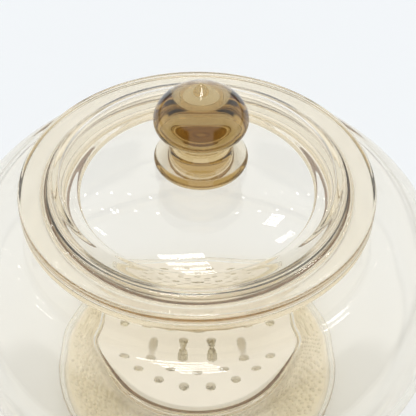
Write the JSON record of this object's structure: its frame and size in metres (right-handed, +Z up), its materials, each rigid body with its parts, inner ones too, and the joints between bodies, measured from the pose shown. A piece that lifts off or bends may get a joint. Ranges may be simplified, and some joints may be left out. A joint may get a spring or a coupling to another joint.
{
  "type": "glass desiccator",
  "caption": "Squat bulbous amber-tinted glass desiccator with a ground flange, domed lid with a mushroom knob, porcelain plate and silica gel bed.",
  "frame": {"origin": "centre of the foot, on the surface the vessel stands on", "axes": "+Z up along the axis of revolution; the lid slides open along X"},
  "size_m": [0.299, 0.299, 0.2723],
  "materials": {
    "amber_glass": "clear thin glass with a pale champagne amber tint, polished",
    "solid_amber_glass": "the same amber glass in the solid, honey to dark brown, fire polished",
    "joint_grease": "thin translucent film of joint grease",
    "glazed_porcelain": "opaque white glazed porcelain",
    "silica_gel": "pale translucent beads, 3 to 5 mm across"
  },
  "bodies": {
    "vessel": {"base_vessel": "amber_glass", "silica_gel_bed": "silica_gel"},
    "seal": {"joint_grease_film": "joint_grease"},
    "lid": {"lid_dome": "amber_glass", "lid_knob": "solid_amber_glass"},
    "plate": {"porcelain_plate": "glazed_porcelain"}
  },
  "joints": [
    {"name": "lid_slide", "type": "slide", "parent": "vessel", "child": "seal", "axis": [1, 0, 0], "range_m": [-0.09, 0.09]},
    {"name": "lid_lift", "type": "slide", "parent": "seal", "child": "lid", "axis": [0, 0, 1], "range_m": [0, 0.1]},
    {"name": "plate_lift", "type": "slide", "parent": "vessel", "child": "plate", "axis": [0, 0, 1], "range_m": [0, 0.12]}
  ]
}
